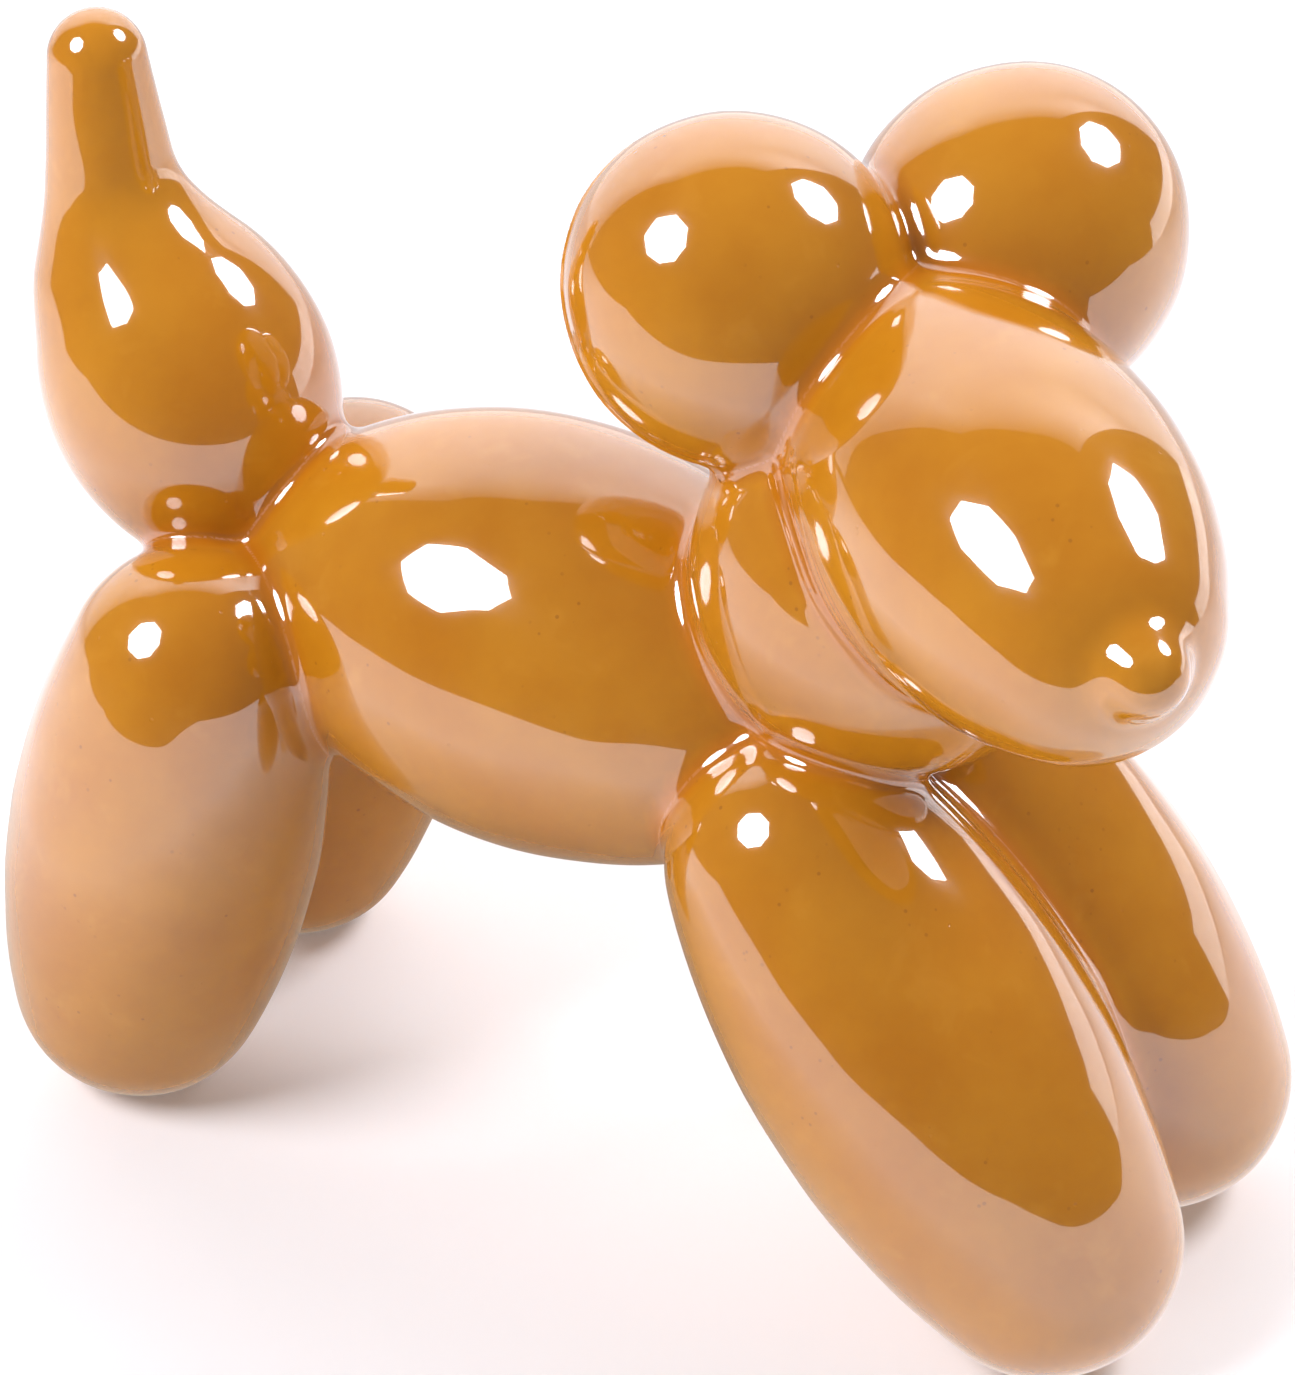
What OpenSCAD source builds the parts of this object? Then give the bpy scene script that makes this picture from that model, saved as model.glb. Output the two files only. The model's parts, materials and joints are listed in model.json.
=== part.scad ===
// Glazed ceramic dog in the shape of a balloon twister's dog.
// Every bubble is a hollow slip casting. The castings are luted together with slip before
// firing, and four felt pads sit under the feet.
// Frame: millimetres, +Z up, the dog faces -Y and its right side is -X.
// The origin is the middle of the footprint's box, on the surface that the dog stands on.

/* [Clay] */
// Wall of every casting
wall = 4; // [3:0.5:6]
// How far the slip stands off both bubbles in a joint
slip = 2; // [1:0.25:3]
// Bore of the air hole pierced between two joined castings
air_hole_d = 5; // [3:0.5:7]
// Bore of the firing vent under the belly
vent_d = 4; // [3:0.5:6]

/* [Body] */
// Body diameter
body_d = 70; // [56:1:86]
// Body length
body_l = 108; // [90:1:132]
// How much the body's front end is tighter than its middle, as a radius
body_front_taper = 7; // [4:0.5:12]
// The same for its rear end
body_rear_taper = 10; // [5:0.5:14]
// How far the body's front dips, in degrees
body_dip = 4; // [0:1:10]

/* [Rear legs] */
// Rear leg diameter
rear_leg_d = 52; // [43:1:60]
// Rear leg length
rear_leg_l = 108; // [90:1:130]
// How much a rear foot is tighter than the leg's middle, as a radius
rear_foot_taper = 4.5; // [2:0.5:8]
// The same for a rear leg's top
rear_top_taper = 5; // [2:0.5:8]
// Lean of the rear legs, feet to the rear, in degrees
rear_lean = 12; // [6:1:20]
// Gap between the two rear legs
rear_gap = 1; // [0.5:0.5:8]
// Hip point ahead of the body's rear end
hip_inset = 3; // [0:0.5:8]
// Hip point below the body's middle
hip_drop = 7; // [3:0.5:12]

/* [Front legs] */
// Front leg diameter
front_leg_d = 56; // [46:1:62]
// Lean of the front legs, feet to the front, in degrees
front_lean = 39; // [20:0.5:48]
// How much a front leg's two ends are tighter than its middle, as a radius
front_taper = 6; // [5.5:0.5:10]
// Middle of the dog to a front leg's shoulder point
shoulder_spread = 20; // [16:0.5:26]
// Middle of the dog to a front foot's middle
front_stance = 24; // [22:0.5:30]
// Shoulder point ahead of the body's front end
shoulder_out = 1; // [-2:0.5:4]
// Shoulder point below the body's middle
shoulder_drop = 15; // [10:0.5:20]

/* [Feet] */
// How deep the flat of a foot is cut into its round end
sole_cut = 2.5; // [1.5:0.25:3.5]
// Thickness of a felt pad
felt = 1; // [0.5:0.25:2]
// Unglazed rim of the sole left around a pad
sole_rim = 2; // [1:0.5:3]

/* [Neck] */
// Neck diameter
neck_d = 64; // [53:1:76]
// How much longer than wide the neck is
neck_stretch = 2; // [0.5:0.5:14]
// How much the neck's ends are tighter than its middle, as a radius
neck_taper = 2; // [1:0.5:8]
// Rise of the neck from the body's middle, in degrees
neck_rise = 26; // [18:1:34]
// How deep the neck bites into the body
neck_bite = 13; // [9:0.5:17]

/* [Head] */
// Head diameter
head_d = 57; // [48:1:68]
// Head length from the neck's joint to the snout's end
head_l = 94; // [79:1:112]
// How much the snout's end is tighter than the head's middle, as a radius
snout_taper = 7; // [4:0.5:11]
// The same for the head's rear end
head_rear_taper = 4; // [2:0.5:9]
// How far the head is turned to the dog's right, in degrees
head_turn = 42; // [0:1:50]
// How far the snout dips, in degrees
head_dip = 5; // [0:1:15]
// Direction from the neck's middle to the head's middle, turned to the right, in degrees
head_seat_turn = 33; // [0:1:45]
// Rise of that direction, in degrees
head_seat_rise = 40; // [30:1:50]
// How deep the head bites into the neck
head_bite = 32; // [26:0.5:36]
// Diameter of the knot on the snout
knot_d = 13; // [9:0.5:15]
// How far the knot stands out of the snout
knot_out = 6; // [4:0.5:8]
// How far the knot sits above the snout's tip, as an angle at the head's middle, in degrees
knot_rise = 6; // [0:1:14]

/* [Ears] */
// Ear diameter
ear_d = 53; // [44:1:62]
// How much longer than wide an ear is
ear_stretch = 3; // [0.5:0.5:13]
// How much an ear's ends are tighter than its middle, as a radius
ear_taper = 1.5; // [1:0.5:6]
// Angle from the head's rear end out to an ear's middle, in degrees
ear_spread = 25.5; // [22:0.5:30]
// Rise of an ear's middle from the head's middle, in degrees
ear_rise = 19; // [14:1:26]
// How deep an ear bites into the head
ear_bite = 12.5; // [9:0.5:16]
// Tilt of an ear's own axis above level, in degrees
ear_tilt = 53; // [30:1:75]

/* [Tail] */
// Diameter of the tail's bulb
tail_d = 48; // [40:1:56]
// Length of the tail's bulb
tail_l = 65; // [54:1:78]
// How much the bulb's ends are tighter than its middle, as a radius
tail_taper = 6; // [3:0.5:10]
// Rise from the body's middle to the bulb's middle, in degrees
tail_rise = 24; // [18:1:30]
// How deep the bulb bites into the body
tail_bite = 5; // [4:0.5:9]
// Lean of the bulb to the rear, in degrees
tail_lean = 22; // [10:1:32]
// Diameter of the spout's rounded tip
spout_tip_d = 16; // [12:0.5:20]
// Diameter of the spout at its foot
spout_foot_d = 25; // [20:0.5:28]
// Length of the spout between those two
spout_l = 36; // [30:1:44]
// Lean of the spout to the rear, in degrees
spout_lean = 4; // [0:1:10]
// Foot of the spout to the rear of the bulb's middle
spout_setback = 12; // [8:0.5:15]
// Foot of the spout above the bulb's middle
spout_raise = 19; // [15:0.5:23]

/* [Hidden] */
$fn = 48;
// Segments of the long side arcs
SIDE_FN = 180;
// Longer than the whole dog
FAR = 400;
// Turn of a round form with a twin about its own axis: it keeps its start away from the twin
TWIN_TURN = 75;

OCHRE = "#c8892f";
BISQUE = "#d9b48c";
FELT = "#3a342e";

// The bubbles, in the order in which they are joined: a later one is trimmed to fit the earlier
BODY = 0;
NECK = 1;
REAR_RIGHT = 2;
REAR_LEFT = 3;
TAIL = 4;
FRONT_RIGHT = 5;
FRONT_LEFT = 6;
HEAD = 7;
RIGHT_EAR = 8;
LEFT_EAR = 9;

// An oval is [diameter, length, radius of its leading end, radius of its trailing end]
function side_r(o, r) = let(b = o[0] / 2, h = o[1] / 2 - r) (b * b + h * h - r * r) / (2 * (b - r));
function end_h(o, r) = o[1] / 2 - r;

// Distance from an oval's middle to its surface, at an angle from its leading end
function reach(o, angle) =
    let(r = cos(angle) >= 0 ? o[2] : o[3],
        c = abs(cos(angle)),
        s = sin(angle),
        h = end_h(o, r),
        side = side_r(o, r),
        b = o[0] / 2,
        in_end = r * r - h * h * s * s,
        t_end = h * c + sqrt(max(in_end, 0)),
        t_side = (b - side) * s + sqrt(side * side - pow((b - side) * c, 2)))
    in_end > 0 && t_end * c >= h * side / (side - r) ? t_end : t_side;

// Distance from an oval's middle to the plane that touches it, square to a direction
function support(o, angle) =
    let(r = cos(angle) >= 0 ? o[2] : o[3],
        c = abs(cos(angle)),
        s = sin(angle),
        h = end_h(o, r),
        side = side_r(o, r))
    atan2(c, s) > atan2(h, side - o[0] / 2) ? h * c + r : (o[0] / 2 - side) * s + side;

// Unit vector: turned from -Y towards -X, then raised
function heading(turn, rise) = [-sin(turn) * cos(rise), -cos(turn) * cos(rise), sin(rise)];
function between(u, v) = acos(max(-1, min(1, u * v)));
// Middle of an oval that bites into another along a direction
function seat(from, from_axis, from_oval, dir, axis, oval, bite) =
    from + dir * (reach(from_oval, between(from_axis, dir)) + reach(oval, between(axis, -dir)) - bite);

function bubble(d, l, lead_taper, trail_taper) = [d, l, d / 2 - lead_taper, d / 2 - trail_taper];

body_oval = bubble(body_d, body_l, body_front_taper, body_rear_taper);
neck_oval = bubble(neck_d, neck_d + neck_stretch, neck_taper, neck_taper);
head_oval = bubble(head_d, head_l, snout_taper, head_rear_taper);
ear_oval = bubble(ear_d, ear_d + ear_stretch, ear_taper, ear_taper);
tail_oval = bubble(tail_d, tail_l, tail_taper, tail_taper);
rear_oval = bubble(rear_leg_d, rear_leg_l, rear_foot_taper, rear_top_taper);

// Rear legs stand on the ground and set the height of the hips, and so of the body
rear_stance = (rear_leg_d + rear_gap) / 2;
rear_axis = [0, sin(rear_lean), -cos(rear_lean)];
rear_foot_r = rear_oval[2];
rear_foot_z = felt + rear_foot_r - sole_cut;
rear_reach = rear_leg_l - rear_foot_r - rear_oval[3];
hip_z = rear_foot_z + rear_reach * cos(rear_lean);
body_axis = heading(0, -body_dip);
body_at = [0, 0, hip_z + hip_drop];
hip_y = body_l / 2 - hip_inset;
rear_foot_y = hip_y + rear_reach * sin(rear_lean);
rear_at = [rear_stance, rear_foot_y, rear_foot_z] - rear_axis * end_h(rear_oval, rear_foot_r);

// Front legs reach from the shoulders to the ground, so their length follows from their lean
front_end_r = front_leg_d / 2 - front_taper;
front_foot_z = felt + front_end_r - sole_cut;
shoulder_at = [shoulder_spread, -body_l / 2 - shoulder_out, body_at[2] - shoulder_drop];
front_drop = shoulder_at[2] - front_foot_z;
front_foot_at = [front_stance, shoulder_at[1] - front_drop * tan(front_lean), front_foot_z];
front_reach = norm(front_foot_at - shoulder_at);
front_axis = (front_foot_at - shoulder_at) / front_reach;
front_oval = bubble(front_leg_d, front_reach + 2 * front_end_r, front_taper, front_taper);
front_at = (shoulder_at + front_foot_at) / 2;

neck_axis = heading(0, 45);
neck_at = seat(body_at, body_axis, body_oval, heading(0, neck_rise), neck_axis, neck_oval, neck_bite);
head_axis = heading(head_turn, -head_dip);
head_at = seat(neck_at, neck_axis, neck_oval, heading(head_seat_turn, head_seat_rise),
               head_axis, head_oval, head_bite);
tail_axis = heading(180, 90 - tail_lean);
tail_at = seat(body_at, body_axis, body_oval, heading(180, tail_rise), tail_axis, tail_oval, tail_bite);

// Side is 1 on the dog's right and -1 on its left
function ear_dir(side) = heading(head_turn + side * (180 - ear_spread), ear_rise);
function ear_axis(side) = heading(head_turn + side * 90, ear_tilt);
function ear_at(side) =
    seat(head_at, head_axis, head_oval, ear_dir(side), ear_axis(side), ear_oval, ear_bite);
function flip(v) = [-v[0], v[1], v[2]];

OVALS = [body_oval, neck_oval, rear_oval, rear_oval, tail_oval, front_oval, front_oval, head_oval,
         ear_oval, ear_oval];
PLACES = [body_at, neck_at, flip(rear_at), rear_at, tail_at, flip(front_at), front_at, head_at,
          ear_at(1), ear_at(-1)];
AXES = [body_axis, neck_axis, flip(rear_axis), rear_axis, tail_axis, flip(front_axis), front_axis,
        head_axis, ear_axis(1), ear_axis(-1)];
TURNS = [0, 0, TWIN_TURN, -TWIN_TURN, 0, TWIN_TURN, -TWIN_TURN, 0, TWIN_TURN, -TWIN_TURN];
// The earlier bubbles that each bubble is joined to, its main one first
JOINED = [[], [BODY], [BODY], [BODY], [BODY, REAR_RIGHT, REAR_LEFT], [BODY, NECK], [BODY, NECK],
          [NECK], [HEAD, NECK], [HEAD, NECK]];
// The later bubbles that cover a part of this bubble's joint
COVERED_BY = [[], [FRONT_RIGHT, FRONT_LEFT], [TAIL], [TAIL], [], [], [], [RIGHT_EAR, LEFT_EAR],
              [], []];

spout_axis = heading(180, 90 - spout_lean);
spout_at = tail_at + [0, spout_setback, spout_raise];
spout_tip = spout_at + spout_axis * spout_l;
knot_axis = heading(head_turn, knot_rise - head_dip);
knot_at = head_at + knot_axis * (reach(head_oval, knot_rise) + knot_out - knot_d / 2);

// The box of the whole dog, which the frame is centred on
bubbles = [for (i = [0 : len(OVALS) - 1]) i];
function side_of(dir) = max(concat(
    [for (i = bubbles) PLACES[i] * dir + support(OVALS[i], between(AXES[i], dir))],
    [knot_at * dir + knot_d / 2, spout_tip * dir + spout_tip_d / 2]));
centre = [(side_of([1, 0, 0]) - side_of([-1, 0, 0])) / 2,
          (side_of([0, 1, 0]) - side_of([0, -1, 0])) / 2, 0];

front_flat_r = sqrt(2 * front_end_r * sole_cut - sole_cut * sole_cut);
rear_flat_r = sqrt(2 * rear_foot_r * sole_cut - sole_cut * sole_cut);

// Outline of an oval's end and of the side arc from `low` up to it, grown by an offset
module outline(o, r, grow, low) {
    side = side_r(o, r);
    h = end_h(o, r);
    meet = (side + grow) * h / (side - r);
    intersection() {
        union() {
            translate([0, h]) circle(r + grow);
            if (low < 0) translate([0, -h]) circle(r + grow);
            intersection() {
                translate([o[0] / 2 - side, 0]) circle(side + grow, $fn = SIDE_FN);
                translate([0, low * meet]) square([o[0], (1 - low) * meet]);
            }
        }
        translate([0, low * o[1]]) square([o[0], (1 - low) * o[1]]);
    }
}

// An oval round +Z, its leading end up: one side arc if its ends are alike, and two if not
module oval(o, grow) {
    rotate_extrude() {
        if (o[2] == o[3]) outline(o, o[2], grow, -1);
        else {
            outline(o, o[2], grow, 0);
            mirror([0, 1]) outline(o, o[3], grow, 0);
        }
    }
}

// Turns +Z to a direction and moves to a place
module aim(at, dir) {
    translate(at) rotate([0, acos(dir[2]), atan2(dir[1], dir[0])]) children();
}

module spout(grow) {
    tip_r = spout_tip_d / 2 + grow;
    aim(spout_at, spout_axis) {
        translate([0, 0, -tip_r]) cylinder(h = spout_l + tip_r, r1 = spout_foot_d / 2 + grow, r2 = tip_r);
        translate([0, 0, spout_l]) sphere(tip_r);
    }
}

module knot() {
    aim(knot_at, knot_axis) sphere(d = knot_d);
}

// The outer form of a bubble, grown by an offset, in the dog's frame
module form(i, grow = 0) {
    aim(PLACES[i], AXES[i]) rotate([0, 0, TURNS[i]]) oval(OVALS[i], grow);
    if (i == TAIL) spout(grow);
}

// Air hole through the wall of bubble `from` into bubble i, aimed at the nearer part of i
module air_hole(from, i) {
    near = i == REAR_RIGHT || i == REAR_LEFT || i == FRONT_RIGHT || i == FRONT_LEFT
        ? PLACES[i] - AXES[i] * end_h(OVALS[i], OVALS[i][3]) : PLACES[i];
    way = near - PLACES[from];
    aim(PLACES[from], way / norm(way)) cylinder(h = norm(way), d = air_hole_d);
}

// Half space past the head's middle plane or the dog's, on one side
module half_space(at, turn, side) {
    translate(at) rotate([0, 0, -turn]) translate([side > 0 ? 0 : -FAR, -FAR / 2, -FAR / 2]) cube(FAR);
}

// Everything that a paired bubble leaves to its twin
module twin_side(i) {
    if (i == FRONT_RIGHT || i == REAR_RIGHT) half_space([0, 0, 0], 0, 1);
    if (i == FRONT_LEFT || i == REAR_LEFT) half_space([0, 0, 0], 0, -1);
    if (i == RIGHT_EAR) half_space(head_at, head_turn, 1);
    if (i == LEFT_EAR) half_space(head_at, head_turn, -1);
}

module below(z) {
    translate([-FAR / 2, -FAR / 2, z - FAR]) cube(FAR);
}

// A bubble as cast: hollow, trimmed to its earlier neighbours, and flat where it stands
module casting(i) {
    translate(-centre) difference() {
        form(i);
        difference() {
            form(i, -wall);
            below(felt + wall);
        }
        below(felt);
        for (j = JOINED[i]) form(j);
        twin_side(i);
        for (k = bubbles) if (len(JOINED[k]) > 0 && JOINED[k][0] == i) air_hole(i, k);
        if (i == BODY) translate([0, 0, body_at[2] - body_d]) cylinder(h = body_d, d = vent_d);
    }
}

// The crease round a joint, filled to the slip's offset from both bubbles
module crease(i) {
    intersection() {
        form(i, slip);
        union() for (j = JOINED[i]) form(j, slip);
    }
}

module seam(i) {
    translate(-centre) difference() {
        crease(i);
        form(i);
        for (j = JOINED[i]) form(j);
        twin_side(i);
        for (j = COVERED_BY[i]) form(j, slip);
    }
}

// The filled groove between two twins, up to the seams of their own joints
module web(a, b) {
    translate(-centre) difference() {
        intersection() {
            form(a, slip);
            form(b, slip);
        }
        form(a);
        form(b);
        for (j = JOINED[a]) form(j, slip);
    }
}

module foot_pad(side, y, x, flat_r) {
    translate([side * x, y, 0] - centre) cylinder(h = felt, r = flat_r - sole_rim);
}

module body_shell() { color(OCHRE) casting(BODY); }
module neck_shell() { color(OCHRE) casting(NECK); }
module head_shell() {
    color(OCHRE) {
        casting(HEAD);
        translate(-centre) difference() { knot(); form(HEAD); }
    }
}
module right_ear_shell() { color(OCHRE) casting(RIGHT_EAR); }
module left_ear_shell() { color(OCHRE) casting(LEFT_EAR); }
module rear_right_leg_shell() { color(OCHRE) casting(REAR_RIGHT); }
module rear_left_leg_shell() { color(OCHRE) casting(REAR_LEFT); }
module front_right_leg_shell() { color(OCHRE) casting(FRONT_RIGHT); }
module front_left_leg_shell() { color(OCHRE) casting(FRONT_LEFT); }
module tail_shell() { color(OCHRE) casting(TAIL); }

module neck_seam() { color(BISQUE) seam(NECK); }
module head_seam() { color(BISQUE) seam(HEAD); }
module right_ear_seam() { color(BISQUE) seam(RIGHT_EAR); }
module left_ear_seam() { color(BISQUE) seam(LEFT_EAR); }
module rear_right_leg_seam() { color(BISQUE) seam(REAR_RIGHT); }
module rear_left_leg_seam() { color(BISQUE) seam(REAR_LEFT); }
module front_right_leg_seam() { color(BISQUE) seam(FRONT_RIGHT); }
module front_left_leg_seam() { color(BISQUE) seam(FRONT_LEFT); }
module tail_seam() { color(BISQUE) seam(TAIL); }
module front_leg_web() { color(BISQUE) web(FRONT_RIGHT, FRONT_LEFT); }
module ear_web() { color(BISQUE) web(RIGHT_EAR, LEFT_EAR); }

module front_right_foot_pad() { color(FELT) foot_pad(-1, front_foot_at[1], front_stance, front_flat_r); }
module front_left_foot_pad() { color(FELT) foot_pad(1, front_foot_at[1], front_stance, front_flat_r); }
module rear_right_foot_pad() { color(FELT) foot_pad(-1, rear_foot_y, rear_stance, rear_flat_r); }
module rear_left_foot_pad() { color(FELT) foot_pad(1, rear_foot_y, rear_stance, rear_flat_r); }

body_shell();
neck_shell();
head_shell();
right_ear_shell();
left_ear_shell();
rear_right_leg_shell();
rear_left_leg_shell();
front_right_leg_shell();
front_left_leg_shell();
tail_shell();
neck_seam();
head_seam();
right_ear_seam();
left_ear_seam();
rear_right_leg_seam();
rear_left_leg_seam();
front_right_leg_seam();
front_left_leg_seam();
tail_seam();
front_leg_web();
ear_web();
front_right_foot_pad();
front_left_foot_pad();
rear_right_foot_pad();
rear_left_foot_pad();
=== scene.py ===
"""Looks of the glazed ceramic dog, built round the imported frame.

The castings and the slip in their joints share one glazed skin. It is the smooth union of the
bubbles, meshed once and then cut along the edges of the joints, so that neighbours meet face to
face. Lengths are in millimetres until a mesh is made, and then in metres.
"""

import json
from math import atan2, cos, pi, radians, sin, sqrt

import bpy
import numpy as np
from mathutils import Matrix, Vector

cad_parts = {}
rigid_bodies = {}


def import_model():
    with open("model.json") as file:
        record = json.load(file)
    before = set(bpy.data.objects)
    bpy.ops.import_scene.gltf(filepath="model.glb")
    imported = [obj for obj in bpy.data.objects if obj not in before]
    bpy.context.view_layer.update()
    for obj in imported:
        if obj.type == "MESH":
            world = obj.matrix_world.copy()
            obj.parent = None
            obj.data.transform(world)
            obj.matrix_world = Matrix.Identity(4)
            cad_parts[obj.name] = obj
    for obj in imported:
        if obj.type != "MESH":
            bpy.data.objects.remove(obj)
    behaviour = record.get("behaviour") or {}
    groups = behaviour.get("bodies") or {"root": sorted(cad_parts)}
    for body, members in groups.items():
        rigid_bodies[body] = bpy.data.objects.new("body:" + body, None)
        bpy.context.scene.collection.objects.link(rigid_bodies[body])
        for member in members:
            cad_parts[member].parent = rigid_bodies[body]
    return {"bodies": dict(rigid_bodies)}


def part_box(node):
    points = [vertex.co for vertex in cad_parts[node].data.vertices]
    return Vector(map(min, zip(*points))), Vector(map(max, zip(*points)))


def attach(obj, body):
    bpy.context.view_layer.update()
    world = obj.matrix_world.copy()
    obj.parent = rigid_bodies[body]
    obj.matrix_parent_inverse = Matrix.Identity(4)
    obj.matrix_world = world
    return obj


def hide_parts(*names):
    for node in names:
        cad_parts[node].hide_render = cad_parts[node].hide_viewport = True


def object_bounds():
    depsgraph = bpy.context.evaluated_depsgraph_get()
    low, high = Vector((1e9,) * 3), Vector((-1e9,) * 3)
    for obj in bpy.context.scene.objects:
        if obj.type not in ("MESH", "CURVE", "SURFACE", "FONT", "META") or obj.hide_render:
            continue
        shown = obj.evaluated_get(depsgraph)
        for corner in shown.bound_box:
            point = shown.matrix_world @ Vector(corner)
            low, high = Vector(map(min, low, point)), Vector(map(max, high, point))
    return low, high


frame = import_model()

MM = 0.001
cad_bounds = [[float(c) for c in corner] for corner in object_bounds()]

# Camera, at the photograph's viewing angle
CAMERA_TURN = -63.73
CAMERA_RAISE = 32.89
CAMERA_ROLL = 0.516
CAMERA_AWAY = 0.8178
CAMERA_LENS = 140.99
# The camera aims at this point, from the middle of the dog's box
CAMERA_AIM = (-0.0004, 0.0007, -0.0111)

# The skin
WALL = 4.0
# Widths over which two bubbles run into each other
BLEND = 4.5
FRONT_LEG_BLEND = 7.0
EAR_BLEND = 4.0
SPOUT_BLEND = 8.3
KNOT_BLEND = 4.0
# The sole: how widely its edge is rounded, and how much of the foot's ball is cut off
SOLE_BLEND = 0.8
SOLE_CUT = 2.5
# A face this near the felt is unglazed
SOLE_NEAR = 0.12
VENT_R = 2.0
GRID = 1.05


def unit(v):
    v = np.asarray(v, float)
    return v / np.linalg.norm(v)


def heading(turn, rise):
    """Unit vector: turned from -Y towards -X, then raised, in degrees."""
    t, r = radians(turn), radians(rise)
    return np.array([-sin(t) * cos(r), -cos(t) * cos(r), sin(r)])


def box(node):
    """Lowest and highest corner of a CAD node in millimetres."""
    return np.array([np.array(corner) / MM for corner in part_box(node)])


class Oval:
    """A bubble: round about its axis, its side arc running into a tighter arc at each end."""

    def __init__(self, wide, long, lead_taper, trail_taper, axis):
        self.axis = unit(axis)
        self.b = wide / 2
        self.ends = []
        for taper in (lead_taper, trail_taper):
            r = self.b - taper
            h = long / 2 - r
            side = (self.b**2 + h**2 - r**2) / (2 * taper)
            self.ends.append((r, h, side))
        self.at = np.zeros(3)

    def support(self, way):
        """Distance from the middle to the plane that touches the bubble, square to a direction."""
        along = float(self.axis @ way)
        r, h, side = self.ends[0 if along >= 0 else 1]
        c, s = abs(along), sqrt(max(0.0, 1 - along * along))
        if atan2(c, s) > atan2(h, side - self.b):
            return h * c + r
        return (self.b - side) * s + side

    def seat(self, node, sides, knob=None):
        """Places the bubble by the free sides of its CAD casting: -1 is the low side, 1 the high.

        A knob is a ball on the bubble, given as its offset from the middle and its radius.
        """
        corners = box(node)
        for k, side in enumerate(sides):
            way = np.eye(3)[k] * side
            out = self.support(way)
            if knob:
                out = max(out, float(knob[0] @ way) + knob[1])
            self.at[k] = corners[(side + 1) // 2, k] - side * out
        return self

    def distance(self, p):
        """Signed distance from points to the bubble."""
        d = p - self.at
        t = d @ self.axis
        rho = np.sqrt(np.maximum((d * d).sum(-1) - t * t, 0))
        r, h, side = (np.where(t >= 0, a, b) for a, b in zip(*self.ends))
        t = np.abs(t)
        end = t * (side - self.b) > (rho + side - self.b) * h
        return np.where(end, np.hypot(rho, t - h) - r, np.hypot(rho + side - self.b, t) - side)


def ball(p, at, r):
    """Signed distance from points to a ball."""
    return np.linalg.norm(p - at, axis=-1) - r


def round_cone(p, foot, tip, foot_r, tip_r):
    """Signed distance to two balls of different size and the cone that touches both."""
    long = np.linalg.norm(tip - foot)
    lean = (foot_r - tip_r) / long
    up = sqrt(1 - lean * lean)
    y = (p - foot) @ (tip - foot) / long
    x = np.sqrt(np.maximum(((p - foot) ** 2).sum(-1) - y * y, 0))
    along = up * y - lean * x
    side = up * x + lean * y - foot_r
    ends = np.where(along < 0, np.hypot(x, y) - foot_r, np.hypot(x, y - long) - tip_r)
    return np.where((along >= 0) & (along <= up * long), side, ends)


def smooth_min(a, b, k):
    """The lesser of two fields, rounded off over a width k."""
    h = np.maximum(k - np.abs(a - b), 0) / k
    return np.minimum(a, b) - h * h * k / 4


# The bubbles: the sizes are those of the CAD castings, and the places come from their boxes
NAMES = [
    "body", "neck", "rear_right_leg", "rear_left_leg", "tail",
    "front_right_leg", "front_left_leg", "head", "right_ear", "left_ear",
]
(
    BODY, NECK, REAR_RIGHT, REAR_LEFT, TAIL,
    FRONT_RIGHT, FRONT_LEFT, HEAD, RIGHT_EAR, LEFT_EAR,
) = range(len(NAMES))
BODY_L = 108
# Width, length, and the tapers at the leading and the trailing end
BODY_FORM = (70, BODY_L, 7, 10)
NECK_FORM = (64, 66, 2, 2)
REAR_LEG_FORM = (52, 108, 4.5, 5)
TAIL_FORM = (48, 65, 6, 6)
HEAD_FORM = (57, 94, 7, 4)
EAR_FORM = (53, 56, 1.5, 1.5)
BODY_DIP = 4
NECK_RAISE = 45
REAR_LEG_DIP = 78
TAIL_RAISE = 68
HEAD_TURN = 42
HEAD_DIP = 5
EAR_RAISE = 53
# The front legs run from these points, measured from the middle of the body's front end
SHOULDER_SPREAD = 20
SHOULDER_OUT = 1
SHOULDER_DROP = 15
FRONT_LEG_D = 56
FRONT_TAPER = 6
SPOUT_SETBACK = 12
SPOUT_RAISE = 19
SPOUT_L = 36
SPOUT_LEAN = 4
SPOUT_FOOT_R = 12.5
SPOUT_TIP_R = 8
KNOT_R = 6.5
KNOT_OUT = 6
KNOT_RISE = 6

felt = float(box("front_right_foot_pad")[1, 2])


def front_leg(side, body):
    """A front leg runs from its shoulder point on the body to over the middle of its pad."""
    pad = box("front_right_foot_pad" if side < 0 else "front_left_foot_pad").mean(0)
    r = FRONT_LEG_D / 2 - FRONT_TAPER
    foot = np.array([pad[0], pad[1], felt + r - SOLE_CUT])
    shoulder = body.at + [side * SHOULDER_SPREAD, -BODY_L / 2 - SHOULDER_OUT, -SHOULDER_DROP]
    long = np.linalg.norm(foot - shoulder) + 2 * r
    leg = Oval(FRONT_LEG_D, long, FRONT_TAPER, FRONT_TAPER, foot - shoulder)
    leg.at = (foot + shoulder) / 2
    return leg


def knot_offset(head):
    """From the head's middle to the knot's, which sits on the snout a little above its tip."""
    r, h, _ = head.ends[0]
    rise = radians(KNOT_RISE)
    reach = h * cos(rise) + sqrt(r * r - (h * sin(rise)) ** 2)
    return heading(HEAD_TURN, KNOT_RISE - HEAD_DIP) * (reach + KNOT_OUT - KNOT_R)


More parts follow.
